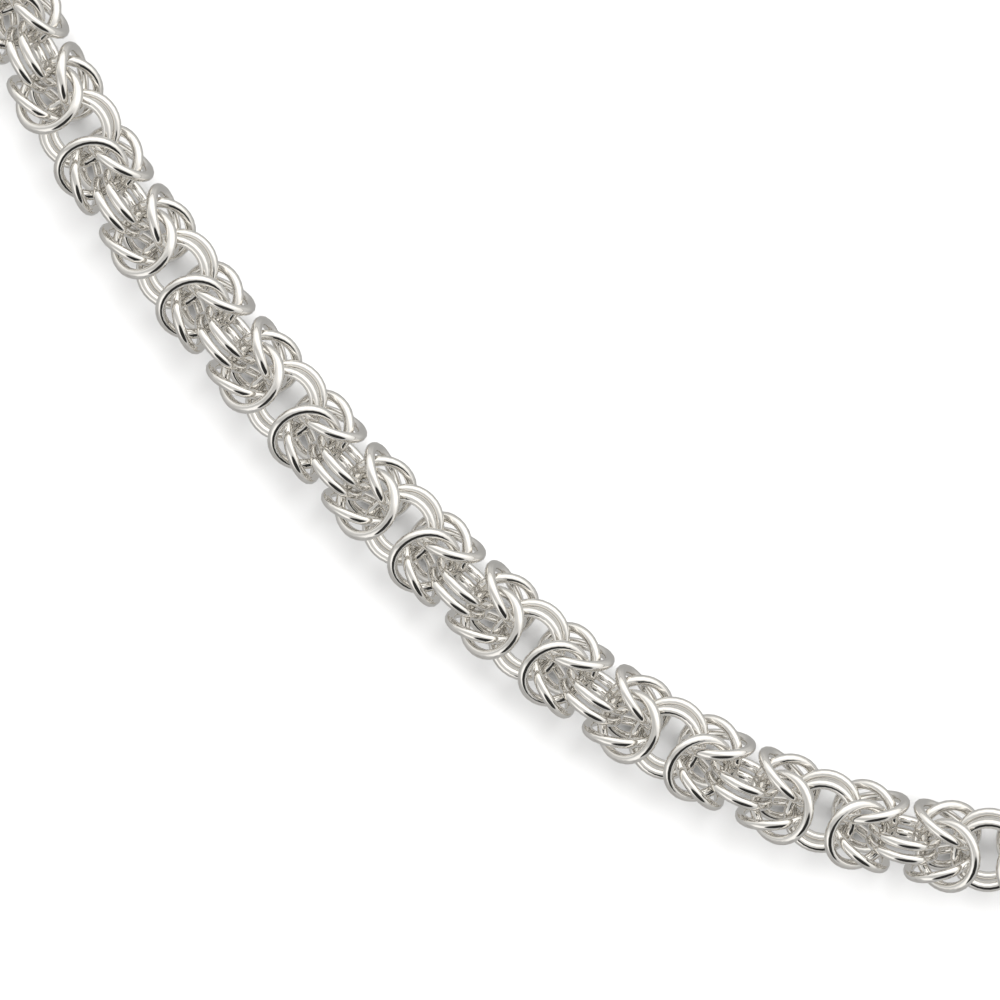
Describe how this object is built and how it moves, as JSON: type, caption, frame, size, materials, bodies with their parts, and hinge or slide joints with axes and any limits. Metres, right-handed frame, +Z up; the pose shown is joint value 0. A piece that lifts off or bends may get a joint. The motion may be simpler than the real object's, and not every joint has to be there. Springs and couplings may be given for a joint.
{
  "type": "chain necklace",
  "caption": "Round-wire byzantine chain necklace in polished silver, closed by a plain barrel clasp and lying flat as a loop.",
  "frame": {"origin": "middle of the loop, left to right and front to back, at the height of the surface that the chain lies on", "axes": "+Z up from that surface, +Y towards the top of the picture and +X towards its right"},
  "size_m": [0.1532, 0.1507, 0.0065],
  "materials": {
    "rings": "polished silver",
    "rear_rings": "polished silver",
    "clasp": "polished silver"
  },
  "bodies": {
    "root": {"weave": "rings", "rear_chain": "rear_rings", "clasp": "clasp"}
  },
  "joints": []
}
